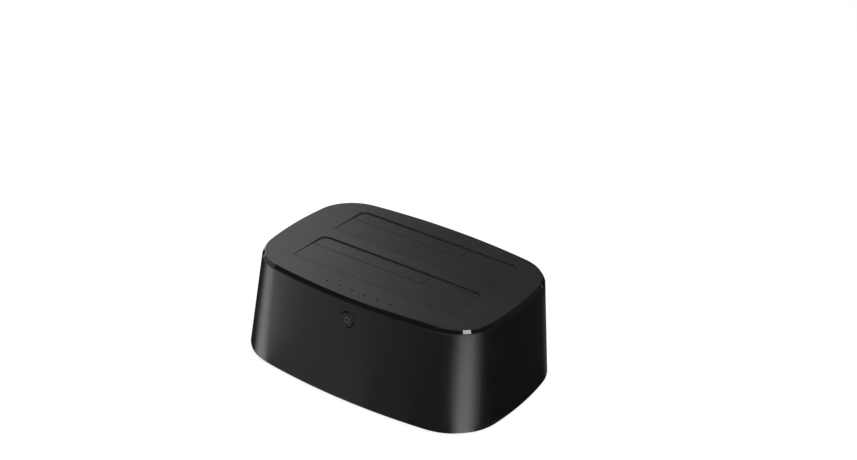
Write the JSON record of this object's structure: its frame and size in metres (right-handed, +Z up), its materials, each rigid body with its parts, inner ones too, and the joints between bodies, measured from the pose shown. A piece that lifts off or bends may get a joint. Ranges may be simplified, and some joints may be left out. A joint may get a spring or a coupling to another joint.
{
  "type": "hard drive docking station",
  "caption": "Black flared docking station with sprung bay doors for upright bare drives, a front push button and rear data, power and switch ports.",
  "frame": {"origin": "on the table under the middle of the base", "axes": "+X to the right along the bays, +Y to the back with the ports, +Z up"},
  "size_m": [0.1604, 0.112, 0.06],
  "materials": {
    "shell": "satin black moulding",
    "trim": "polished black",
    "deck": "fine matt black texture",
    "inner": "plain black moulding",
    "button": "satin black",
    "steel": "bright steel",
    "board": "green solder mask",
    "contact": "gold plated",
    "chip": "black moulding compound",
    "can": "drawn aluminium",
    "lamp": "milky lens",
    "clear": "clear acrylic",
    "ribbon": "grey insulation",
    "nylon": "natural nylon",
    "insert": "blue insulator",
    "rubber": "soft black rubber"
  },
  "bodies": {
    "dock": {"housing": "shell", "base_plate": "shell", "trim_ring": "trim", "deck": "deck", "drive_cage": "inner", "front_connector": "inner", "rear_connector": "inner", "tact_switch": "inner", "power_jack": "inner", "switch_frame": "inner", "door_pins": "steel", "flap_pins": "steel", "front_door_springs": "steel", "front_flap_spring": "steel", "rear_door_springs": "steel", "rear_flap_spring": "steel", "data_port_shell": "steel", "power_jack_pin": "steel", "case_screws": "steel", "cage_screws": "steel", "board_screws": "steel", "main_board": "board", "front_board": "board", "connector_contacts": "contact", "bridge_chip": "chip", "inductors": "chip", "capacitors": "can", "lamps": "lamp", "light_pipe": "clear", "ribbon_cable": "ribbon", "cable_headers": "nylon", "data_port_insert": "insert", "rubber_feet": "rubber"},
    "front_door": {"front_door": "deck"},
    "front_flap": {"front_flap": "deck"},
    "rear_door": {"rear_door": "deck"},
    "rear_flap": {"rear_flap": "deck"},
    "button": {"button_cap": "button", "tact_plunger": "lamp"},
    "rocker": {"switch_rocker": "button"}
  },
  "joints": [
    {"name": "front_door_hinge", "type": "hinge", "parent": "dock", "child": "front_door", "pos_m": [0, -0.03294, 0.05638], "axis": [-1, 0, 0], "range_deg": [0, 88], "stiffness_Nm_per_rad": 0.006, "springref_deg": -34.38, "deforming": ["front_door_springs"]},
    {"name": "front_flap_hinge", "type": "hinge", "parent": "dock", "child": "front_flap", "pos_m": [0, 0.00024, 0.05729], "axis": [1, 0, 0], "range_deg": [0, 91], "stiffness_Nm_per_rad": 0.0008, "springref_deg": -34.38, "deforming": ["front_flap_spring"]},
    {"name": "rear_door_hinge", "type": "hinge", "parent": "dock", "child": "rear_door", "pos_m": [0, 0.00456, 0.05638], "axis": [-1, 0, 0], "range_deg": [0, 88], "stiffness_Nm_per_rad": 0.006, "springref_deg": -34.38, "deforming": ["rear_door_springs"]},
    {"name": "rear_flap_hinge", "type": "hinge", "parent": "dock", "child": "rear_flap", "pos_m": [0, 0.03774, 0.05729], "axis": [1, 0, 0], "range_deg": [0, 91], "stiffness_Nm_per_rad": 0.0008, "springref_deg": -34.38, "deforming": ["rear_flap_spring"]},
    {"name": "button_press", "type": "slide", "parent": "dock", "child": "button", "axis": [0, 0.9944, -0.1056], "range_m": [0, 0.0006], "stiffness_N_per_m": 300, "springref_m": -0.001},
    {"name": "power_rock", "type": "hinge", "parent": "dock", "child": "rocker", "pos_m": [-0.02, 0.052, 0.0132], "axis": [0, 0, 1], "range_deg": [0, 14]}
  ]
}
